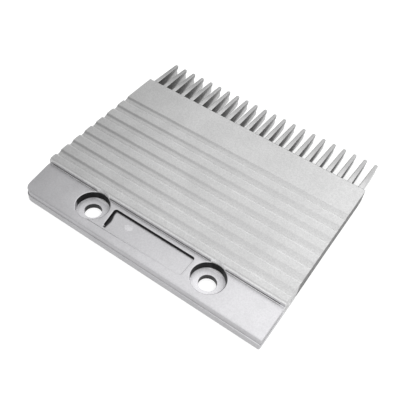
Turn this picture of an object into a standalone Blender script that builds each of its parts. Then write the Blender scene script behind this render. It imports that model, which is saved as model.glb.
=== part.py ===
"""Escalator comb plate: one aluminium pressure die casting.

Sizes are in metres. The origin is the point midway between the two screw holes, on the mounting face.
+X runs along the row of teeth, +Y towards the tooth tips and +Z up, out of the tread surface.
"""

import math

import bmesh
import bpy

# Whole plate
PLATE_WIDTH = 0.2006
DECK_TOP_Z = 0.0151
FLANGE_TOP_Z = 0.0106
REAR_EDGE_Y = -0.0177
STEP_FOOT_Y = 0.0112
TOOTH_ROOT_Y = 0.1318
SKIRT_BOTTOM_Z = 0.0005
FRONT_LIP_BOTTOM_Z = 0.0020
FRONT_LIP_LENGTH = 0.0060
FRONT_EDGE_RADIUS = 0.0007
REAR_EDGE_RADIUS = 0.0020

# Plan corners: the left end of the screw flange tapers and has the large corner
FRONT_CORNER_RADIUS = 0.0014
REAR_RIGHT_CORNER_RADIUS = 0.0009
REAR_LEFT_CORNER_RADIUS = 0.0065
LEFT_TAPER_INSET = 0.0030
TAPER_GAP = 0.0020

# Mounting pad: the lower half of the rear stands out past the parting line
PAD_TOP_Z = 0.0055
PAD_SIDE_PROUD = 0.0004
PAD_REAR_PROUD = 0.0006
PAD_FRONT_Y = 0.0290

# Ridged tread deck
GROOVE_COUNT = 7
GROOVE_PITCH = 0.0130
FIRST_GROOVE_Y = 0.0232
GROOVE_DEPTH = 0.0018
GROOVE_DROP_LENGTH = 0.0039
GROOVE_RISE_LENGTH = 0.0029
GROOVE_DROP_LEAD = 0.0010
STEP_CREST_LENGTH = 0.0011
STEP_CREST_DROP = 0.0008
STEP_LEDGE_LENGTH = 0.0009
STEP_LEDGE_DROP = 0.0005
STEP_WALL_DRAFT = 0.0001
PROFILE_STEPS = 4

# Comb teeth
TOOTH_PITCH = 0.009068
TOOTH_ROW_OFFSET = 0.0009
TOOTH_END_MARGIN = 0.0012
TOOTH_LENGTH = 0.0311
TOOTH_ROOT_WIDTH = 0.0040
TOOTH_SHOULDER_WIDTH = 0.0031
TOOTH_TIP_WIDTH = 0.0026
TOOTH_SHOULDER_LENGTH = 0.0070
TOOTH_TIP_RADIUS = 0.0013
TOOTH_TIP_FLAT_SHARE = 0.32
TOOTH_TIP_DROP = 0.0009
TOOTH_ROOT_SINK = 0.0002
TOOTH_SEAT_DEPTH = 0.0010
TOOTH_BOTTOM_Z = 0.0028
TOOTH_BOTTOM_SHARE = 0.68
TOOTH_EDGE_RADIUS = 0.0006

# End of every tooth seen from the side: a thin nose, an undercut below it and a rounded toe
NOSE_THICKNESS = 0.0033
UNDERCUT_LENGTH = 0.0022
UNDERCUT_RADIUS = 0.0010
TOE_SETBACK = 0.0012
TOE_HEIGHT = 0.0042
TOE_RADIUS = 0.0014
TOE_SWEEP = 0.0012
TOE_SWEEP_LENGTH = 0.0120

# Underside coring
SHELL_THICKNESS = 0.0042
SKIRT_THICKNESS = 0.0040
FRONT_WALL_THICKNESS = 0.0053
CROSS_RIB_THICKNESS = 0.0032
BAY_COLUMNS = 10
BAY_RIB_THICKNESS = 0.0026
PAD_BAY_REAR_Y = 0.0155
PAD_BAY_FRONT_Y = 0.0260
DECK_BAYS_REAR_Y = 0.0310
DECK_BAY_ROWS = 2
BAY_CORNER_RADIUS = 0.0022
BAY_CORNER_STEPS = 2
BAY_DRAFT = math.radians(1.5)
BOSS_RADIUS = 0.0175

# Under the front of the deck the teeth run on as ribs with a slot between each two
SLOT_LENGTH = 0.0210
SLOT_CORNER_RADIUS = 0.0012

# Screw holes
SCREW_SPACING = 0.0984
SCREW_HOLE_RADIUS = 0.0063
COUNTERBORE_RADIUS = 0.0121
COUNTERBORE_FLOOR_Z = 0.0044
COUNTERBORE_CHAMFER = 0.0004
CIRCLE_SEGMENTS = 64

# Shallow recess between the screw holes
RECESS_LENGTH = 0.0664
RECESS_REAR_Y = -0.0096
RECESS_FRONT_Y = 0.0073
RECESS_DEPTH = 0.0020
RECESS_CORNER_RADIUS = 0.0018
RECESS_DRAFT = 0.0003

# How finely curves are drawn, and how far a rounding may reach along the faces it joins
CORNER_STEPS = 4
TIP_RING_SHARES = (1, 0.35, 0)
SIDE_SHARE = 0.45
EDGE_SHARE = 0.6
ARC_GAP = 1 - math.sqrt(0.5)

CUT_PAST = 0.0050
SMOOTH_ANGLE = math.radians(30)


def clear_scene():
    for obj in list(bpy.data.objects):
        bpy.data.objects.remove(obj, do_unlink=True)


def mesh_object(name, verts, faces):
    mesh = bpy.data.meshes.new(name)
    mesh.from_pydata(verts, [], faces)
    mesh.validate()
    bm = bmesh.new()
    bm.from_mesh(mesh)
    bmesh.ops.recalc_face_normals(bm, faces=bm.faces)
    bm.to_mesh(mesh)
    bm.free()
    obj = bpy.data.objects.new(name, mesh)
    bpy.context.collection.objects.link(obj)
    return obj


def lofted(name, rings_list):
    """One mesh object with a closed body for each list of rings. The rings of a body have equal length."""
    verts = []
    faces = []
    for rings in rings_list:
        count = len(rings[0])
        base = len(verts)
        for ring in rings:
            verts.extend(ring)
        for i in range(len(rings) - 1):
            for j in range(count):
                a = base + i * count + j
                b = base + i * count + (j + 1) % count
                faces.append((a, b, b + count, a + count))
        faces.append(tuple(base + j for j in range(count)))
        last = base + (len(rings) - 1) * count
        faces.append(tuple(last + j for j in range(count)))
    return mesh_object(name, verts, faces)


def prism(name, outline, low_z, high_z):
    low = [(x, y, low_z) for x, y in outline]
    high = [(x, y, high_z) for x, y in outline]
    return lofted(name, [[low, high]])


def cut_or_join(target, other, operation):
    """Applies one exact Boolean to the target and removes the other object."""
    modifier = target.modifiers.new(operation, "BOOLEAN")
    modifier.operation = operation
    modifier.solver = "EXACT"
    modifier.object = other
    graph = bpy.context.evaluated_depsgraph_get()
    result = bpy.data.meshes.new_from_object(target.evaluated_get(graph))
    target.modifiers.remove(modifier)
    target.data = result
    bpy.data.objects.remove(other, do_unlink=True)


def rounded_corner(before, corner, after, radius, steps=CORNER_STEPS):
    """Points of the arc that replaces a convex or concave corner of a polygon."""
    ax, ay = before[0] - corner[0], before[1] - corner[1]
    bx, by = after[0] - corner[0], after[1] - corner[1]
    la, lb = math.hypot(ax, ay), math.hypot(bx, by)
    ax, ay, bx, by = ax / la, ay / la, bx / lb, by / lb
    half = 0.5 * math.acos(max(-1.0, min(1.0, ax * bx + ay * by)))
    radius = min(radius, SIDE_SHARE * min(la, lb) * math.tan(half))
    reach = radius / math.tan(half)
    mx, my = ax + bx, ay + by
    lm = math.hypot(mx, my)
    cx = corner[0] + mx / lm * radius / math.sin(half)
    cy = corner[1] + my / lm * radius / math.sin(half)
    start = math.atan2(corner[1] + ay * reach - cy, corner[0] + ax * reach - cx)
    end = math.atan2(corner[1] + by * reach - cy, corner[0] + bx * reach - cx)
    turn = (end - start + math.pi) % (2 * math.pi) - math.pi
    angles = [start + turn * i / steps for i in range(steps + 1)]
    return [(cx + radius * math.cos(a), cy + radius * math.sin(a)) for a in angles]


def rounded_polygon(corners, steps=CORNER_STEPS):
    """Corners are (x, y, radius). The result is a list of points in the same order."""
    points = []
    for i, (x, y, radius) in enumerate(corners):
        before = corners[i - 1]
        after = corners[(i + 1) % len(corners)]
        if radius <= 0:
            points.append((x, y))
        else:
            points.extend(rounded_corner(before, (x, y), after, radius, steps))
    return points


def plan_outline(side_out, rear_out, front_y):
    """The plate seen from above, grown at the sides and at the rear."""
    side = PLATE_WIDTH / 2 + side_out
    rear = REAR_EDGE_Y - rear_out
    taper_y = STEP_FOOT_Y - TAPER_GAP
    return rounded_polygon([
        (side, rear, REAR_RIGHT_CORNER_RADIUS + side_out),
        (side, front_y, FRONT_CORNER_RADIUS),
        (-side, front_y, FRONT_CORNER_RADIUS),
        (-side, taper_y, 0),
        (-side + LEFT_TAPER_INSET, rear, REAR_LEFT_CORNER_RADIUS + side_out),
    ])


def eased(share):
    return share * share * (3 - 2 * share)


def groove_profile(groove_y):
    """Deck height across one groove, from front to rear: a hollow drop that starts steep, then a rise."""
    crest = groove_y + GROOVE_DROP_LEAD
    valley = crest - GROOVE_DROP_LENGTH
    points = []
    for i in range(PROFILE_STEPS + 1):
        share = i / PROFILE_STEPS
        fall = GROOVE_DEPTH * (1 - (1 - share) ** 2)
        points.append((crest - share * GROOVE_DROP_LENGTH, DECK_TOP_Z - fall))
    for i in range(1, PROFILE_STEPS + 1):
        share = i / PROFILE_STEPS
        fall = GROOVE_DEPTH * (1 - eased(share))
        points.append((valley - share * GROOVE_RISE_LENGTH, DECK_TOP_Z - fall))
    return points


def step_profile():
    """From the last crest down to the screw flange: a rounded crest, a narrow ledge and an upright wall."""
    wall_top = STEP_FOOT_Y + STEP_WALL_DRAFT
    ledge = wall_top + STEP_LEDGE_LENGTH
    points = []
    for i in range(PROFILE_STEPS + 1):
        share = i / PROFILE_STEPS
        fall = STEP_CREST_DROP * eased(share)
        points.append((ledge + STEP_CREST_LENGTH * (1 - share), DECK_TOP_Z - fall))
    points.append((wall_top, DECK_TOP_Z - STEP_CREST_DROP - STEP_LEDGE_DROP))
    points.append((STEP_FOOT_Y, FLANGE_TOP_Z))
    return points


def side_section():
    """The plate cut along Y, without teeth and coring."""
    front = rounded_corner(
        (TOOTH_ROOT_Y, FRONT_LIP_BOTTOM_Z),
        (TOOTH_ROOT_Y, DECK_TOP_Z),
        (TOOTH_ROOT_Y - GROOVE_PITCH, DECK_TOP_Z),
        FRONT_EDGE_RADIUS,
    )
    rear = rounded_corner(
        (STEP_FOOT_Y, FLANGE_TOP_Z),
        (REAR_EDGE_Y, FLANGE_TOP_Z),
        (REAR_EDGE_Y, SKIRT_BOTTOM_Z),
        REAR_EDGE_RADIUS,
    )
    points = [
        (REAR_EDGE_Y, SKIRT_BOTTOM_Z),
        (TOOTH_ROOT_Y - FRONT_LIP_LENGTH, SKIRT_BOTTOM_Z),
        (TOOTH_ROOT_Y, FRONT_LIP_BOTTOM_Z),
    ]
    points.extend(front)
    for i in reversed(range(GROOVE_COUNT)):
        points.extend(groove_profile(FIRST_GROOVE_Y + i * GROOVE_PITCH))
    points.extend(step_profile())
    points.extend(rear)
    return points


def make_body():
    reach = PLATE_WIDTH / 2 + CUT_PAST
    section = side_section()
    left = [(-reach, y, z) for y, z in section]
    right = [(reach, y, z) for y, z in section]
    body = lofted("comb_plate", [[left, right]])
    plan = plan_outline(0, 0, TOOTH_ROOT_Y + CUT_PAST)
    outline = prism("outline", plan, -CUT_PAST, DECK_TOP_Z + CUT_PAST)
    cut_or_join(body, outline, "INTERSECT")
    return body


def add_pad(body):
    pad = prism("pad", plan_outline(PAD_SIDE_PROUD, PAD_REAR_PROUD, PAD_FRONT_Y), 0, PAD_TOP_Z)
    cut_or_join(body, pad, "UNION")


def bay_rings(left, right, rear, front, corner_radius):
    """One drafted bay open at the underside, narrower at its roof."""
    roof_z = DECK_TOP_Z - GROOVE_DEPTH / 2 - SHELL_THICKNESS
    rings = []
    for z in (-CUT_PAST, roof_z):
        inset = (z + CUT_PAST) * math.tan(BAY_DRAFT)
        corners = [
            (left + inset, rear + inset, corner_radius),
            (right - inset, rear + inset, corner_radius),
            (right - inset, front - inset, corner_radius),
            (left + inset, front - inset, corner_radius),
        ]
        rings.append([(x, y, z) for x, y in rounded_polygon(corners, BAY_CORNER_STEPS)])
    return rings


def clear_of_bosses(left, right, rear):
    """True where a bay's rear edge leaves the solid round both screw holes alone."""
    for hole_x in (-SCREW_SPACING / 2, SCREW_SPACING / 2):
        aside = max(left - hole_x, hole_x - right, 0)
        if math.hypot(aside, rear) < BOSS_RADIUS:
            return False
    return True


def bay_rows():
    """Rear and front edge of each row of bays: one row under the deck's rear, the others equally deep."""
    front = TOOTH_ROOT_Y - FRONT_WALL_THICKNESS - SLOT_LENGTH - CROSS_RIB_THICKNESS
    depth = (front - DECK_BAYS_REAR_Y - (DECK_BAY_ROWS - 1) * CROSS_RIB_THICKNESS) / DECK_BAY_ROWS
    rows = [(PAD_BAY_REAR_Y, PAD_BAY_FRONT_Y)]
    for row in range(DECK_BAY_ROWS):
        rear = DECK_BAYS_REAR_Y + row * (depth + CROSS_RIB_THICKNESS)
        rows.append((rear, rear + depth))
    return rows


def underside_bays():
    """Bays in equal columns, with ribs between them that run from front to back."""
    first = -PLATE_WIDTH / 2 + SKIRT_THICKNESS
    width = (-2 * first - (BAY_COLUMNS - 1) * BAY_RIB_THICKNESS) / BAY_COLUMNS
    bays = []
    for column in range(BAY_COLUMNS):
        left = first + column * (width + BAY_RIB_THICKNESS)
        for rear, front in bay_rows():
            if clear_of_bosses(left, left + width, rear):
                bays.append(bay_rings(left, left + width, rear, front, BAY_CORNER_RADIUS))
    return bays


def tooth_places():
    """Centre of every tooth along X: as many teeth as the plate's width holds."""
    room = PLATE_WIDTH - 2 * TOOTH_END_MARGIN - TOOTH_ROOT_WIDTH
    count = int(room / TOOTH_PITCH) + 1
    first = TOOTH_ROW_OFFSET - (count - 1) / 2 * TOOTH_PITCH
    return [first + i * TOOTH_PITCH for i in range(count)]


def tooth_slots():
    """A slot behind the front wall in line with each gap between two teeth."""
    front = TOOTH_ROOT_Y - FRONT_WALL_THICKNESS
    slots = []
    places = tooth_places()
    for left_tooth, right_tooth in zip(places, places[1:]):
        left = left_tooth + TOOTH_ROOT_WIDTH / 2
        right = right_tooth - TOOTH_ROOT_WIDTH / 2
        slots.append(bay_rings(left, right, front - SLOT_LENGTH, front, SLOT_CORNER_RADIUS))
    return slots


def tooth_section(x, y, half_width, top_z, bottom_z):
    """One cross-section of a tooth: rounded along its top edges and narrower at its bottom edge."""
    r = min(TOOTH_EDGE_RADIUS, EDGE_SHARE * half_width)
    low = half_width * TOOTH_BOTTOM_SHARE
    right = [
        (low, bottom_z),
        (half_width, top_z - r),
        (half_width - ARC_GAP * r, top_z - ARC_GAP * r),
        (half_width - r, top_z),
    ]
    ring = right + [(-u, z) for u, z in reversed(right)]
    return [(x + u, y, z) for u, z in ring]


def tooth_half_width(back):
    """Half the tooth's width this far back from its tip."""
    if back <= TOOTH_SHOULDER_LENGTH:
        share = back / TOOTH_SHOULDER_LENGTH
        width = TOOTH_TIP_WIDTH + (TOOTH_SHOULDER_WIDTH - TOOTH_TIP_WIDTH) * share
    else:
        share = (back - TOOTH_SHOULDER_LENGTH) / (TOOTH_LENGTH - TOOTH_SHOULDER_LENGTH)
        width = TOOTH_SHOULDER_WIDTH + (TOOTH_ROOT_WIDTH - TOOTH_SHOULDER_WIDTH) * share
    return width / 2 * round_end(back)


def round_end(back):
    """Share of the full size left this far back from the tip, along a quarter of an ellipse."""
    gone = max(0, 1 - back / TOOTH_TIP_RADIUS)
    return math.sqrt(1 - (1 - TOOTH_TIP_FLAT_SHARE ** 2) * gone * gone)


def tooth_rings(x):
    """A tooth from its seat inside the front wall to its rounded tip."""
    root_half = TOOTH_ROOT_WIDTH / 2
    root_top = DECK_TOP_Z - TOOTH_ROOT_SINK
    tip_y = TOOTH_ROOT_Y + TOOTH_LENGTH
    seat_y = TOOTH_ROOT_Y - FRONT_WALL_THICKNESS / 2
    seat_top = root_top - TOOTH_SEAT_DEPTH
    rings = [
        tooth_section(x, seat_y, root_half, seat_top, TOOTH_BOTTOM_Z),
        tooth_section(x, TOOTH_ROOT_Y - 2 * FRONT_EDGE_RADIUS, root_half, root_top, TOOTH_BOTTOM_Z),
    ]
    backs = [(TOOTH_LENGTH + TOOTH_SHOULDER_LENGTH) / 2, TOOTH_SHOULDER_LENGTH]
    backs.extend(share * TOOTH_TIP_RADIUS for share in TIP_RING_SHARES)
    for back in backs:
        top = root_top - (TOOTH_TIP_DROP - TOOTH_ROOT_SINK) * (1 - back / TOOTH_LENGTH)
        top -= TOOTH_TIP_RADIUS * (1 - round_end(back))
        rings.append(tooth_section(x, tip_y - back, tooth_half_width(back), top, TOOTH_BOTTOM_Z))
    return rings


def make_teeth():
    teeth = lofted("teeth", [tooth_rings(x) for x in tooth_places()])
    cut_or_join(teeth, tooth_end_cutter(), "DIFFERENCE")
    return teeth


def tooth_end_cutter():
    """A bar across all teeth whose rear side is the undercut below the noses and the rounded toes."""
    tip_y = TOOTH_ROOT_Y + TOOTH_LENGTH
    toe_y = tip_y - TOE_SETBACK
    nose_bottom = DECK_TOP_Z - TOOTH_TIP_DROP - NOSE_THICKNESS
    outline = rounded_polygon([
        (tip_y + CUT_PAST, nose_bottom, 0),
        (tip_y - UNDERCUT_LENGTH, nose_bottom, UNDERCUT_RADIUS),
        (toe_y, TOOTH_BOTTOM_Z + TOE_HEIGHT, TOE_RADIUS),
        (toe_y, TOOTH_BOTTOM_Z + TOE_SWEEP, TOE_RADIUS),
        (toe_y - TOE_SWEEP_LENGTH, TOOTH_BOTTOM_Z - TOE_SWEEP, 0),
        (tip_y + CUT_PAST, TOOTH_BOTTOM_Z - CUT_PAST, 0),
    ])
    reach = PLATE_WIDTH / 2 + CUT_PAST
    left = [(-reach, y, z) for y, z in outline]
    right = [(reach, y, z) for y, z in outline]
    return lofted("tooth_end_cutter", [[left, right]])


def ring_at(x, radius, z):
    ring = []
    for i in range(CIRCLE_SEGMENTS):
        angle = 2 * math.pi * i / CIRCLE_SEGMENTS
        ring.append((x + radius * math.cos(angle), radius * math.sin(angle), z))
    return ring


def screw_rings(x):
    """The cut for one screw: a through hole, a counterbore and the small chamfer at its rim."""
    rim = COUNTERBORE_RADIUS + COUNTERBORE_CHAMFER
    return [
        ring_at(x, SCREW_HOLE_RADIUS, -CUT_PAST),
        ring_at(x, SCREW_HOLE_RADIUS, COUNTERBORE_FLOOR_Z),
        ring_at(x, COUNTERBORE_RADIUS, COUNTERBORE_FLOOR_Z),
        ring_at(x, COUNTERBORE_RADIUS, FLANGE_TOP_Z - COUNTERBORE_CHAMFER),
        ring_at(x, rim, FLANGE_TOP_Z),
        ring_at(x, rim, DECK_TOP_Z + CUT_PAST),
    ]


def recess_outline(grow):
    """The recess seen from above."""
    half = RECESS_LENGTH / 2 + grow
    rear = RECESS_REAR_Y - grow
    front = RECESS_FRONT_Y + grow
    return rounded_polygon([
        (-half, rear, RECESS_CORNER_RADIUS),
        (half, rear, RECESS_CORNER_RADIUS),
        (half, front, RECESS_CORNER_RADIUS),
        (-half, front, RECESS_CORNER_RADIUS),
    ])


def cut_recess(body):
    levels = [
        (0, FLANGE_TOP_Z - RECESS_DEPTH),
        (RECESS_DRAFT, FLANGE_TOP_Z),
        (RECESS_DRAFT, FLANGE_TOP_Z + RECESS_DEPTH),
    ]
    rings = []
    for grow, z in levels:
        rings.append([(x, y, z) for x, y in recess_outline(grow)])
    cut_or_join(body, lofted("recess", [rings]), "DIFFERENCE")


def cast_aluminium():
    material = bpy.data.materials.new("cast_aluminium")
    material.use_nodes = True
    shader = material.node_tree.nodes["Principled BSDF"]
    shader.inputs["Base Color"].default_value = (0.62, 0.62, 0.63, 1)
    shader.inputs["Metallic"].default_value = 0.85
    shader.inputs["Roughness"].default_value = 0.48
    return material


def main():
    clear_scene()
    body = make_body()
    add_pad(body)
    cut_or_join(body, lofted("bays", underside_bays() + tooth_slots()), "DIFFERENCE")
    cut_or_join(body, make_teeth(), "UNION")
    hole_x = SCREW_SPACING / 2
    cut_or_join(body, lofted("screw_holes", [screw_rings(-hole_x), screw_rings(hole_x)]), "DIFFERENCE")
    cut_recess(body)
    body.data.materials.clear()
    body.data.materials.append(cast_aluminium())
    for polygon in body.data.polygons:
        polygon.material_index = 0
    body.data.shade_smooth()
    body.data.set_sharp_from_angle(angle=SMOOTH_ANGLE)


main()
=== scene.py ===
"""Looks of the escalator comb plate. Sizes are in metres.

The casting gets rounded edges and blasted aluminium, and lies in a white studio before the photo's camera.
"""

import math

import bmesh
import bpy
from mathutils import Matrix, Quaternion, Vector


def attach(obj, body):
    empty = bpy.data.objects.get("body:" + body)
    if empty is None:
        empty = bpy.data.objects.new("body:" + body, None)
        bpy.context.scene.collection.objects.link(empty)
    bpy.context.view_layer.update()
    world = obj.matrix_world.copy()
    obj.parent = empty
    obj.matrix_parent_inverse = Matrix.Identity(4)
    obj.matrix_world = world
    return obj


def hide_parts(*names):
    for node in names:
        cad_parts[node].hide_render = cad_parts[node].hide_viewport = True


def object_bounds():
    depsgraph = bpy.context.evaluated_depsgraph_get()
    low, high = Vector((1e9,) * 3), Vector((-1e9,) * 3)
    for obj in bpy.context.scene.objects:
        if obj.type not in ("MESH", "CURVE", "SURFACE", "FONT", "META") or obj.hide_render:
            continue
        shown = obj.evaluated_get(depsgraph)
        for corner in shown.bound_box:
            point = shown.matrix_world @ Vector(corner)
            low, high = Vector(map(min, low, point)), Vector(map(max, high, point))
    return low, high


# Camera, from a fit to the photograph
CAMERA_PLACE = Vector((0.14473, -0.19134, 0.33853))
CAMERA_TARGET = Vector((0.00926, 0.04750, 0.0151))
CAMERA_ROLL = math.radians(6.769)
CAMERA_LENS_MM = 53.929
SENSOR_MM = 36

# Cast edges
WELD_DISTANCE = 2e-6
TOUCH = 0.0001
EDGE_WIDTH = 0.00025
EDGE_SEGMENTS = 2
EDGE_ANGLE = math.radians(32)
FLAT_FACE_WEIGHT = 90

# The casting in its own frame
DECK_Z = 0.0151
FLANGE_Z = 0.0106
STEP_Y = 0.0112
TOOTH_ROOT_Y = 0.1318
TOOTH_TIP_Y = 0.1629
PAD_FRONT_Y = 0.0290
SIDE_X = 0.0999
INNER_X = 0.0965
INNER_Y = -0.0165
HOLE_X = 0.0492
HOLE_RIM_RADIUS = 0.0068
SEAT_RADIUS = 0.0121
SEAT_Z = 0.0044
FIRST_GROOVE_Y = 0.0232
GROOVE_PITCH = 0.0130
GROOVE_COUNT = 7
RECESS_FLOOR_Z = 0.0086
RECESS_FAR_Y = 0.0073
RECESS_FLOOR_LEFT_X = -0.0332

# Left end of the recess: its wall bends round the counterbore
RECESS_END_X = (-0.0336, -0.0313)
RECESS_END_Y = (-0.0101, 0.0078)
RECESS_END_WALL_REACH = 0.00031
RECESS_END_WALL_LENGTH = 0.01
RECESS_END_UPRIGHT = 0.95
RECESS_END_CUTS = 9
RECESS_END_BEND_Y = (0.0058, -0.0030)
RECESS_END_FAR_SHIFT = -0.0010
RECESS_END_NEAR_SHIFT = 0.0012
RECESS_END_FOOT_SHIFT = 0.0006

# Metal
DECK_COLOR = (0.525, 0.525, 0.525, 1)
FLANGE_COLOR = (0.530, 0.526, 0.540, 1)
# Colour of the painted shade between the teeth, at the step's foot and on the deck's sides
PAINTED_SHADE_COLOR = (0.070, 0.068, 0.066, 1)
# Near black colour of the painted shade in the counterbores and the recess
POCKET_SHADE_COLOR = (0.012, 0.012, 0.013, 1)
DECK_ROUGHNESS = 0.50
FLANGE_ROUGHNESS = 0.33
CLOUD_ROUGHNESS = 0.03
SHADE_AND_SEAT_ROUGHNESS = 0.2
SEAT_DULLNESS = 0.6
SIDE_DULLNESS = 0.9

# Noise: scale, detail and roughness
GRAIN = (1100.0, 3.0, 0.6)
PITS = (520.0, 2.0, 0.5)
CLOUD = (45.0, 4.0, 0.55)
NOISE_RANGE = (0.3, 0.7)
SHADE_NOISE_RANGE = (0.2, 0.8)
BUMP_DISTANCE = 0.0001
BUMP_PITS = 1.5
BUMP_FLANGE = 0.14
BUMP_DECK = 0.30

# How much brighter or darker the marks make the metal. For one that changes along X: two places, two amounts
GRAIN_FLANGE = 0.06
GRAIN_DECK = 0.09
CLOUD_SHADE = (0.955, 1.045)
# Painted highlight on the spot in the recess
HIGHLIGHT_SPOT_GAIN = 0.22
TOOTH_TOP_GAIN = -0.24
# Painted shade on the flange's outer upright faces
SKIRT_PAINTED_SHADE = -0.20
# Painted highlight on the ledge
LEDGE_PAINTED_HIGHLIGHT = 0.22
# Painted light on the flange beside the step
BESIDE_PAINTED_LIGHT = 0.35
CUT_GAIN = 0.5
# Painted light on the counterbore floors, more on the right
SEAT_PAINTED_LIGHT = (-0.05, 0.05, 0.24, 0.60)
# Painted shade on the grooves' drops, fading out to the right, and painted light on their rises
DROP_PAINTED_SHADE = (-0.12, 0.08, -0.34, 0.04)
RISE_PAINTED_LIGHT = (-0.10, 0.03, 0.26, 0.38)
# Painted shade towards the left end and painted light towards the right end
LEFT_PAINTED_SHADE = (-0.105, -0.030, 0.86, 1.0)
RIGHT_PAINTED_LIGHT = (0.050, 0.100, 1.0, 1.06)

# Painted shade: its strength on upright inner walls, the deck's sides, the teeth and in the pockets, and its
# depth between the teeth
INNER_WALL_PAINTED_SHADE = (0.66, 0.92)
SIDE_PAINTED_SHADE = (0.60, 0.90)
TOOTH_PAINTED_SHADE = (1.0, 0.5)
TOOTH_PAINTED_SHADE_DEPTH = (0.0100, 0.0022)
POCKET_PAINTED_SHADE = 0.97
RECESS_LEFT_PAINTED_SHADE = 0.96
RECESS_FAR_PAINTED_SHADE = 0.9

# Painted highlight: a bright spot on the recess's floor
HIGHLIGHT_SPOT_PLACE = (-0.0175, 0.0010)
HIGHLIGHT_SPOT_SIZE = (0.0034, 0.0028)
HIGHLIGHT_SPOT_FRAY = 0.8

# Studio: levels of the white surround every 25 degrees, from the horizon in front of the teeth over the top
# to the horizon behind the screw flange, on its left, in its middle and on its right
STUDIO_STEP = 25
STUDIO_REACH = 0.8
STUDIO_LEFT = (0.25, 0.25, 0.25, 0.25, 0.25, 0.25, 0.25, 0.25)
STUDIO_MIDDLE = (1.98, 1.92, 1.87, 1.84, 1.81, 1.75, 1.64, 1.53)
STUDIO_RIGHT = (1.43, 1.22, 1.10, 0.95, 0.80, 0.60, 0.45, 0.35)
STUDIO_PEAK = 2.0
FLOOR_SIZE = 40.0
FLOOR_COLOR = 0.45
FLOOR_GLOW = 0.70


def eased(value, start, end):
    """Smooth change from 0 at start to 1 at end."""
    share = min(1.0, max(0.0, (value - start) / (end - start)))
    return share * share * (3 - 2 * share)


def recess_end_verts(bm):
    """The recess's points at its left end, on its floor and its rim."""
    left, right = RECESS_END_X
    near, far = RECESS_END_Y
    low, high = RECESS_FLOOR_Z - TOUCH, FLANGE_Z + TOUCH
    return [v for v in bm.verts if left < v.co.x < right and near < v.co.y < far and low < v.co.z < high]


def recess_end_wall(bm, end):
    """The faces of the straight wall at the recess's left end."""
    reach = min(v.co.x for v in end) + RECESS_END_WALL_REACH
    upright = [face for face in bm.faces if face.normal.x > RECESS_END_UPRIGHT]
    return [face for face in upright if all(v in end and v.co.x < reach for v in face.verts)]


def lies_level_along_y(edge):
    a, b = (v.co for v in edge.verts)
    return abs(a.z - b.z) < TOUCH and abs(a.y - b.y) > RECESS_END_WALL_LENGTH


def bend_recess_end(bm):
    """Bends the wall at the recess's left end round the counterbore and leans it outward at its foot."""
    end = recess_end_verts(bm)
    wall = recess_end_wall(bm, end)
    straight = [edge for edge in {edge for face in wall for edge in face.edges} if lies_level_along_y(edge)]
    bmesh.ops.delete(bm, geom=wall, context="FACES")
    chains = []
    for edge in straight:
        chain = list(edge.verts)
        for cut in range(RECESS_END_CUTS):
            edge, vert = bmesh.utils.edge_split(edge, edge.verts[0], 1 / (RECESS_END_CUTS + 1 - cut))
            chain.append(vert)
            end.append(vert)
        chains.append(sorted(chain, key=lambda v: v.co.y))
    low, high = sorted(chains, key=lambda chain: chain[0].co.z)
    for i in range(len(low) - 1):
        bm.faces.new((low[i], low[i + 1], high[i + 1], high[i]))
    for vert in end:
        bend = eased(vert.co.y, *RECESS_END_BEND_Y)
        vert.co.x += RECESS_END_FAR_SHIFT + (RECESS_END_NEAR_SHIFT - RECESS_END_FAR_SHIFT) * bend
        if vert.co.z < RECESS_FLOOR_Z + TOUCH:
            vert.co.x += RECESS_END_FOOT_SHIFT
    bmesh.ops.triangulate(bm, faces=[face for face in bm.faces if len(face.verts) > 4])
    bmesh.ops.recalc_face_normals(bm, faces=bm.faces)


def under_screw_seat(vert):
    return vert.co.z < TOUCH and math.hypot(abs(vert.co.x) - HOLE_X, vert.co.y) < SEAT_RADIUS


def mark_cast_edges(bm):
    """Marks the edges that the casting has rounded: all but the sharp rims of the screw holes underneath."""
    weight = bm.edges.layers.float.new("bevel_weight_edge")
    for edge in bm.edges:
        if edge.calc_face_angle(0.0) > EDGE_ANGLE:
            rim = all(under_screw_seat(vert) for vert in edge.verts)
            edge.smooth = not rim
            edge[weight] = 0.0 if rim else 1.0
    for face in bm.faces:
        face.smooth = True


def finished_casting(node):
    """A copy of the solid with its sharp edges rounded."""
    casting = bpy.data.objects.new("comb_plate_casting", node.data.copy())
    bpy.context.scene.collection.objects.link(casting)
    bm = bmesh.new()
    bm.from_mesh(casting.data)
    bmesh.ops.remove_doubles(bm, verts=bm.verts, dist=WELD_DISTANCE)
    bend_recess_end(bm)
    mark_cast_edges(bm)
    bm.to_mesh(casting.data)
    bm.free()
    bevel = casting.modifiers.new("cast_edges", "BEVEL")
    bevel.width = EDGE_WIDTH
    bevel.segments = EDGE_SEGMENTS
    bevel.limit_method = "WEIGHT"
    bevel.use_clamp_overlap = False
    normals = casting.modifiers.new("flat_faces_stay_flat", "WEIGHTED_NORMAL")
    normals.mode = "FACE_AREA"
    normals.weight = FLAT_FACE_WEIGHT
    normals.keep_sharp = True
    graph = bpy.context.evaluated_depsgraph_get()
    mesh = bpy.data.meshes.new_from_object(casting.evaluated_get(graph))
    casting.modifiers.clear()
    casting.data = mesh
    return casting


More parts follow.
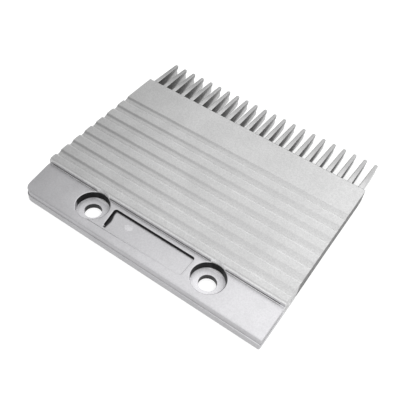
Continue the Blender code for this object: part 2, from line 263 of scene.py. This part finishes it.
class Nodes:
    """Short calls that add nodes to one tree and link them."""

    def __init__(self, tree):
        self.tree = tree

    def add(self, kind, inputs, **settings):
        node = self.tree.nodes.new("ShaderNode" + kind)
        for name, value in settings.items():
            setattr(node, name, value)
        for socket, value in inputs.items():
            if isinstance(value, bpy.types.NodeSocket):
                self.tree.links.new(value, node.inputs[socket])
            else:
                node.inputs[socket].default_value = value
        return node.outputs[0]

    def parts(self, vector):
        """The X, Y and Z of a vector."""
        node = self.tree.nodes.new("ShaderNodeSeparateXYZ")
        self.tree.links.new(vector, node.inputs[0])
        return tuple(node.outputs)

    def math(self, operation, a, b=0.0):
        return self.add("Math", {0: a, 1: b}, operation=operation)

    def product(self, first, *others):
        for other in others:
            first = self.math("MULTIPLY", first, other)
        return first

    def total(self, first, *others):
        for other in others:
            first = self.math("ADD", first, other)
        return first

    def largest(self, first, *others):
        for other in others:
            first = self.math("MAXIMUM", first, other)
        return first

    def gain(self, mark, amount):
        """1 outside a mark, and 1 with the amount added where the mark is full."""
        return self.math("ADD", 1.0, self.product(mark, amount))

    def ramp(self, value, low, high, to_low=0.0, to_high=1.0):
        """Eased change from one level to another while the value goes from low to high."""
        inputs = {"Value": value, "From Min": low, "From Max": high, "To Min": to_low, "To Max": to_high}
        return self.add("MapRange", inputs, interpolation_type="SMOOTHSTEP")

    def noise(self, place, scale, detail, roughness):
        inputs = {"Vector": place, "Scale": scale, "Detail": detail, "Roughness": roughness}
        return self.add("TexNoise", inputs)

    def mix(self, factor, a, b):
        node = self.tree.nodes.new("ShaderNodeMix")
        node.data_type = "RGBA"
        self.tree.links.new(factor, node.inputs["Factor"])
        for name, value in (("A", a), ("B", b)):
            socket = next(s for s in node.inputs if s.name == name and s.type == "RGBA")
            if isinstance(value, bpy.types.NodeSocket):
                self.tree.links.new(value, socket)
            else:
                socket.default_value = value
        return next(s for s in node.outputs if s.type == "RGBA")


class Spot:
    """Where a point of the casting lies, which way it looks, and the noise and the main areas there."""

    def __init__(self, n):
        coordinates = n.tree.nodes.new("ShaderNodeTexCoord")
        place = coordinates.outputs["Object"]
        self.x, self.y, self.z = n.parts(place)
        self.aside = n.math("ABSOLUTE", self.x)
        self.ahead, self.up = n.parts(coordinates.outputs["Normal"])[1:]
        self.level = n.math("ABSOLUTE", self.up)
        self.steep = n.ramp(self.level, 0.85, 0.45)
        hole_x = n.math("SUBTRACT", self.aside, HOLE_X)
        self.from_hole = n.math("SQRT", n.total(n.product(hole_x, hole_x), n.product(self.y, self.y)))
        self.grain = n.noise(place, *GRAIN)
        self.pits = n.noise(place, *PITS)
        self.cloud = n.noise(place, *CLOUD)
        self.deck = deck_area(n, self)
        self.inner = inner_area(n, self)
        self.seat = seat_area(n, self)
        self.recess = recess_area(n, self)


def deck_area(n, at):
    """All that lies in front of the step: deck, band and teeth."""
    return n.ramp(at.y, STEP_Y - 0.0004, STEP_Y + 0.0004)


def inner_area(n, at):
    """All but the outer faces at the sides and at the rear."""
    off_sides = n.ramp(at.aside, INNER_X + 0.0004, INNER_X)
    off_rear = n.ramp(at.y, INNER_Y - 0.0004, INNER_Y)
    return n.product(off_sides, off_rear)


def seat_area(n, at):
    """The floors of the counterbores."""
    inside = n.ramp(at.from_hole, SEAT_RADIUS, SEAT_RADIUS - 0.0006)
    low = n.ramp(at.z, SEAT_Z + 0.0008, SEAT_Z + 0.0003)
    over_underside = n.ramp(at.z, 0.0002, 0.0006)
    return n.product(inside, low, over_underside)


def recess_area(n, at):
    """The floor of the recess and the foot of its walls."""
    low = n.ramp(at.z, RECESS_FLOOR_Z + 0.0008, RECESS_FLOOR_Z + 0.0003)
    over_underside = n.ramp(at.z, RECESS_FLOOR_Z - 0.0008, RECESS_FLOOR_Z - 0.0004)
    behind_step = n.ramp(at.y, RECESS_FAR_Y + 0.0010, RECESS_FAR_Y + 0.0006)
    off_seats = n.ramp(at.from_hole, SEAT_RADIUS + 0.0008, SEAT_RADIUS + 0.0012)
    return n.product(low, over_underside, behind_step, off_seats)


def ledge_area(n, at):
    """The narrow ledge at the top of the step's wall, where a highlight is painted."""
    from_wall = n.ramp(at.y, STEP_Y - 0.0004, STEP_Y)
    to_crest = n.ramp(at.y, STEP_Y + 0.0013, STEP_Y + 0.0009)
    high = n.ramp(at.z, FLANGE_Z + 0.0014, FLANGE_Z + 0.0020)
    return n.product(from_wall, to_crest, high)


def beside_area(n, at):
    """The strip of the flange along the foot of the step, where light is painted."""
    near = n.ramp(at.y, STEP_Y - 0.0020, STEP_Y - 0.0006)
    to_wall = n.ramp(at.y, STEP_Y + 0.0004, STEP_Y)
    low = n.ramp(at.z, FLANGE_Z + 0.0003, FLANGE_Z + 0.0001)
    over_underside = n.ramp(at.z, SEAT_Z - 0.0012, SEAT_Z - 0.0008)
    return n.product(near, to_wall, low, over_underside)


def cut_area(n, at):
    """The bright walls that the counterbores cut into the step."""
    near_hole = n.ramp(at.from_hole, SEAT_RADIUS + 0.0008, SEAT_RADIUS + 0.0004)
    high = n.ramp(at.z, FLANGE_Z + 0.0001, FLANGE_Z + 0.0004)
    return n.product(at.steep, near_hole, high)


def tooth_top_area(n, at):
    """The tops of the teeth, more towards their tips."""
    return n.product(n.ramp(at.y, TOOTH_ROOT_Y, TOOTH_ROOT_Y + 0.018), n.ramp(at.up, 0.5, 0.9))


def groove_areas(n, at):
    """The drop of every groove in the deck, and its rise, which get painted shade and painted light."""
    from_first = n.math("SUBTRACT", at.y, FIRST_GROOVE_Y - GROOVE_PITCH / 2)
    phase = n.math("SUBTRACT", n.math("MODULO", from_first, GROOVE_PITCH), GROOVE_PITCH / 2)
    last = GROOVE_PITCH * GROOVE_COUNT
    past_first = n.ramp(from_first, 0.0, 0.0003)
    before_last = n.ramp(from_first, last, last - 0.0003)
    ridged = n.product(past_first, n.ramp(at.up, 0.3, 0.6), before_last)
    drop = n.product(ridged, n.ramp(phase, -0.0012, -0.0001), n.ramp(phase, 0.0014, 0.0003))
    rise = n.product(ridged, n.ramp(phase, -0.0061, -0.0050), n.ramp(phase, -0.0028, -0.0038))
    return drop, rise


def highlight_spot_area(n, at):
    """A small oval with a frayed outline on the recess's floor, where a highlight is painted."""
    across = n.math("DIVIDE", n.math("SUBTRACT", at.x, HIGHLIGHT_SPOT_PLACE[0]), HIGHLIGHT_SPOT_SIZE[0])
    along = n.math("DIVIDE", n.math("SUBTRACT", at.y, HIGHLIGHT_SPOT_PLACE[1]), HIGHLIGHT_SPOT_SIZE[1])
    fray = n.ramp(at.pits, *NOISE_RANGE, -HIGHLIGHT_SPOT_FRAY, HIGHLIGHT_SPOT_FRAY)
    far = n.total(n.product(across, across), n.product(along, along), fray)
    return n.product(n.ramp(far, 1.2, 0.3), at.recess)


def metal_grain_and_painted_light(n, at):
    """Brightness of the bare metal: grain, clouds, darker tooth tops, and painted light and shade on the
    other marks.
    """
    contrast = n.total(n.product(at.deck, GRAIN_DECK - GRAIN_FLANGE), GRAIN_FLANGE)
    outer = n.math("SUBTRACT", 1.0, at.inner)
    # The flange's outer upright faces get painted shade
    skirt_shade = n.product(at.steep, outer, n.math("SUBTRACT", 1.0, at.deck))
    drop, rise = groove_areas(n, at)
    return n.product(
        n.gain(contrast, n.ramp(at.grain, *NOISE_RANGE, -1.0, 1.0)),
        n.ramp(at.cloud, *NOISE_RANGE, *CLOUD_SHADE),
        # Painted highlight on the recess's floor
        n.gain(highlight_spot_area(n, at), HIGHLIGHT_SPOT_GAIN),
        n.gain(tooth_top_area(n, at), TOOTH_TOP_GAIN),
        n.gain(skirt_shade, SKIRT_PAINTED_SHADE),
        # Painted light on the counterbore floors
        n.gain(at.seat, n.ramp(at.x, *SEAT_PAINTED_LIGHT)),
        n.gain(ledge_area(n, at), LEDGE_PAINTED_HIGHLIGHT),
        n.gain(cut_area(n, at), CUT_GAIN),
        n.gain(beside_area(n, at), BESIDE_PAINTED_LIGHT),
        # Painted shade towards the left end and painted light towards the right end
        n.ramp(at.x, *LEFT_PAINTED_SHADE),
        n.ramp(at.x, *RIGHT_PAINTED_LIGHT),
        # Painted shade on the grooves' drops and painted light on their rises
        n.gain(drop, n.ramp(at.x, *DROP_PAINTED_SHADE)),
        n.gain(rise, n.ramp(at.x, *RISE_PAINTED_LIGHT)),
    )


def tooth_painted_shade(n, at):
    """Painted shade between the teeth, from a depth that gets less towards their tips."""
    front = n.ramp(at.y, TOOTH_ROOT_Y - 0.006, TOOTH_ROOT_Y - 0.002)
    amount = n.ramp(at.y, TOOTH_ROOT_Y, TOOTH_TIP_Y, *TOOTH_PAINTED_SHADE)
    reach = n.ramp(at.y, TOOTH_ROOT_Y + 0.002, TOOTH_TIP_Y - 0.002, *TOOTH_PAINTED_SHADE_DEPTH)
    past_reach = n.math("SUBTRACT", n.math("SUBTRACT", DECK_Z, at.z), reach)
    return n.product(front, amount, n.ramp(past_reach, 0.0040, 0.0))


def step_foot_painted_shade(n, at):
    """Painted shade along the foot of the step, but not in the counterbores."""
    behind_teeth = n.ramp(at.y, TOOTH_ROOT_Y - 0.002, TOOTH_ROOT_Y - 0.006)
    low = n.ramp(at.z, FLANGE_Z + 0.0017, FLANGE_Z + 0.0012)
    over_flange = n.ramp(at.z, FLANGE_Z + 0.0001, FLANGE_Z + 0.0005)
    off_seats = n.ramp(at.from_hole, SEAT_RADIUS + 0.0003, SEAT_RADIUS + 0.0008)
    return n.product(behind_teeth, low, over_flange, off_seats)


def side_painted_shade(n, at):
    """Painted shade on the deck's sides, in front of the pad."""
    outside = n.ramp(at.aside, SIDE_X - 0.0005, SIDE_X)
    upright = n.ramp(at.level, 0.5, 0.2)
    before_pad = n.ramp(at.y, PAD_FRONT_Y, PAD_FRONT_Y + 0.002)
    below_rim = n.ramp(at.z, DECK_Z - 0.0008, DECK_Z - 0.0022)
    return n.product(outside, upright, before_pad, below_rim, n.ramp(at.pits, *SHADE_NOISE_RANGE, *SIDE_PAINTED_SHADE))


def pocket_painted_shade(n, at):
    """Painted shade, near black, on the counterbores' and the recess's walls and along the foot of the
    recess's left and far walls.
    """
    up_to_seats = n.ramp(at.y, SEAT_RADIUS + 0.0008, SEAT_RADIUS + 0.0004)
    under_flange = n.ramp(at.z, FLANGE_Z + 0.0001, FLANGE_Z - 0.0002)
    over_seat = n.ramp(at.z, SEAT_Z - 0.0004, SEAT_Z)
    at_hole = n.ramp(at.from_hole, HOLE_RIM_RADIUS + 0.0004, HOLE_RIM_RADIUS)
    turned_back = n.ramp(at.ahead, 0.5, 0.2)
    wall = n.product(at.steep, up_to_seats, under_flange, n.largest(over_seat, at_hole), turned_back)

    wall_shift = n.ramp(at.y, *RECESS_END_BEND_Y, RECESS_END_FAR_SHIFT, RECESS_END_NEAR_SHIFT)
    wall_x = n.total(wall_shift, RECESS_FLOOR_LEFT_X + RECESS_END_FOOT_SHIFT)
    left = n.ramp(n.math("SUBTRACT", at.x, wall_x), 0.0016, 0.0003)
    far = n.ramp(at.y, RECESS_FAR_Y - 0.0007, RECESS_FAR_Y - 0.0002)
    foot = n.largest(n.product(left, RECESS_LEFT_PAINTED_SHADE), n.product(far, RECESS_FAR_PAINTED_SHADE))
    return n.product(at.inner, n.largest(n.product(wall, POCKET_PAINTED_SHADE), n.product(at.recess, foot)))


def cast_aluminium():
    """Blasted casting: a rough deck, a smoother flange, grain all over, painted shade on upright inner
    walls, and painted light and shade on other marks.
    """
    material = bpy.data.materials.new("cast_aluminium")
    material.use_nodes = True
    n = Nodes(material.node_tree)
    at = Spot(n)

    metal = n.mix(at.deck, FLANGE_COLOR, DECK_COLOR)
    metal = n.add("VectorMath", {0: metal, "Scale": metal_grain_and_painted_light(n, at)}, operation="SCALE")
    # Painted shade on upright inner walls between the teeth and at the step's foot, and on the deck's sides
    inner_wall_shade = n.product(at.steep, at.inner, n.ramp(at.pits, *SHADE_NOISE_RANGE, *INNER_WALL_PAINTED_SHADE))
    # Painted shade on the deck's sides, which also makes them less metallic
    sides = side_painted_shade(n, at)
    painted_shade = n.total(n.product(inner_wall_shade, tooth_painted_shade(n, at)), n.product(inner_wall_shade, step_foot_painted_shade(n, at)), sides)
    pocket_shade = pocket_painted_shade(n, at)
    color = n.mix(pocket_shade, n.mix(painted_shade, metal, PAINTED_SHADE_COLOR), POCKET_SHADE_COLOR)

    smoothest, roughest = FLANGE_ROUGHNESS - CLOUD_ROUGHNESS, FLANGE_ROUGHNESS + CLOUD_ROUGHNESS
    rough = n.total(
        n.ramp(at.cloud, *NOISE_RANGE, smoothest, roughest),
        n.product(at.deck, DECK_ROUGHNESS - FLANGE_ROUGHNESS),
        n.product(n.largest(painted_shade, pocket_shade, at.seat), SHADE_AND_SEAT_ROUGHNESS),
    )
    dull = n.total(n.product(at.seat, SEAT_DULLNESS), n.product(sides, SIDE_DULLNESS))
    height = n.total(at.grain, n.product(at.pits, BUMP_PITS))
    strength = n.total(n.product(at.deck, BUMP_DECK - BUMP_FLANGE), BUMP_FLANGE)
    bump = n.add("Bump", {"Strength": strength, "Distance": BUMP_DISTANCE, "Height": height})

    shader = n.tree.nodes["Principled BSDF"]
    n.tree.links.new(n.math("SUBTRACT", 1.0, dull), shader.inputs["Metallic"])
    n.tree.links.new(color, shader.inputs["Base Color"])
    n.tree.links.new(rough, shader.inputs["Roughness"])
    n.tree.links.new(bump, shader.inputs["Normal"])
    return material


def add_camera():
    data = bpy.data.cameras.new("photo_camera")
    data.sensor_width = SENSOR_MM
    data.lens = CAMERA_LENS_MM
    camera = bpy.data.objects.new("photo_camera", data)
    bpy.context.scene.collection.objects.link(camera)
    camera.location = CAMERA_PLACE
    camera.rotation_mode = "QUATERNION"
    facing = (CAMERA_TARGET - CAMERA_PLACE).to_track_quat("-Z", "Y")
    camera.rotation_quaternion = facing @ Quaternion((0, 0, 1), CAMERA_ROLL)
    bpy.context.scene.camera = camera


def add_floor(z):
    """A white floor that keeps the plate's shadow, and glows where the camera, gloss or glass sees it."""
    bpy.ops.mesh.primitive_plane_add(size=FLOOR_SIZE, location=(0, 0, z))
    floor = bpy.context.object
    floor.name = "floor"
    material = bpy.data.materials.new("floor_white")
    material.use_nodes = True
    n = Nodes(material.node_tree)
    path = n.tree.nodes.new("ShaderNodeLightPath")
    seen = n.largest(*(path.outputs["Is " + kind + " Ray"] for kind in ("Camera", "Glossy", "Transmission")))
    shader = n.tree.nodes["Principled BSDF"]
    shader.inputs["Base Color"].default_value = (FLOOR_COLOR, FLOOR_COLOR, FLOOR_COLOR, 1)
    shader.inputs["Roughness"].default_value = 1.0
    shader.inputs["Specular IOR Level"].default_value = 0.0
    shader.inputs["Emission Color"].default_value = (1, 1, 1, 1)
    n.tree.links.new(n.product(seen, FLOOR_GLOW), shader.inputs["Emission Strength"])
    floor.data.materials.append(material)


def studio_arc(n, angle, levels):
    """Brightness of the surround along the arc over the plate."""
    arc = n.tree.nodes.new("ShaderNodeValToRGB")
    stops = arc.color_ramp.elements
    while len(stops) < len(levels):
        stops.new(0.5)
    for i, level in enumerate(levels):
        stops[i].position = i / (len(levels) - 1)
        stops[i].color = (level / STUDIO_PEAK, level / STUDIO_PEAK, level / STUDIO_PEAK, 1)
    n.tree.links.new(angle, arc.inputs[0])
    return arc.outputs[0]


def add_world():
    """A white surround whose brightness follows the arc over the plate and the side."""
    world = bpy.data.worlds.new("studio")
    world.use_nodes = True
    n = Nodes(world.node_tree)
    x, y, z = n.parts(n.add("TexCoord", {}))
    full = math.radians(STUDIO_STEP * (len(STUDIO_MIDDLE) - 1))
    angle = n.add("MapRange", {"Value": n.math("ARCTAN2", z, y), "From Max": full})
    to_left = n.add("MapRange", {"Value": x, "From Min": 0.0, "From Max": -STUDIO_REACH})
    to_right = n.add("MapRange", {"Value": x, "From Min": 0.0, "From Max": STUDIO_REACH})
    middle = studio_arc(n, angle, STUDIO_MIDDLE)
    level = n.mix(to_left, middle, studio_arc(n, angle, STUDIO_LEFT))
    level = n.mix(to_right, level, studio_arc(n, angle, STUDIO_RIGHT))
    background = n.tree.nodes["Background"]
    background.inputs["Strength"].default_value = STUDIO_PEAK
    n.tree.links.new(level, background.inputs["Color"])
    bpy.context.scene.world = world


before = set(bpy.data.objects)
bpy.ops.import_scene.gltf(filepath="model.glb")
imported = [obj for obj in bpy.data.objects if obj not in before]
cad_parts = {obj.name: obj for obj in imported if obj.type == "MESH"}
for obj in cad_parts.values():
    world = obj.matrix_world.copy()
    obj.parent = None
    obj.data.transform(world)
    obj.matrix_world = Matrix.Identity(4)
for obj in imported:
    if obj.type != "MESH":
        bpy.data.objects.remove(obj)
cad_box = [list(corner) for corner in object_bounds()]

casting = finished_casting(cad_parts["comb_plate"])
casting.data.materials.clear()
casting.data.materials.append(cast_aluminium())
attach(casting, "root")
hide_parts("comb_plate")

add_floor(cad_box[0][2])
add_world()
add_camera()

scene = bpy.context.scene
scene.view_settings.view_transform = "Standard"
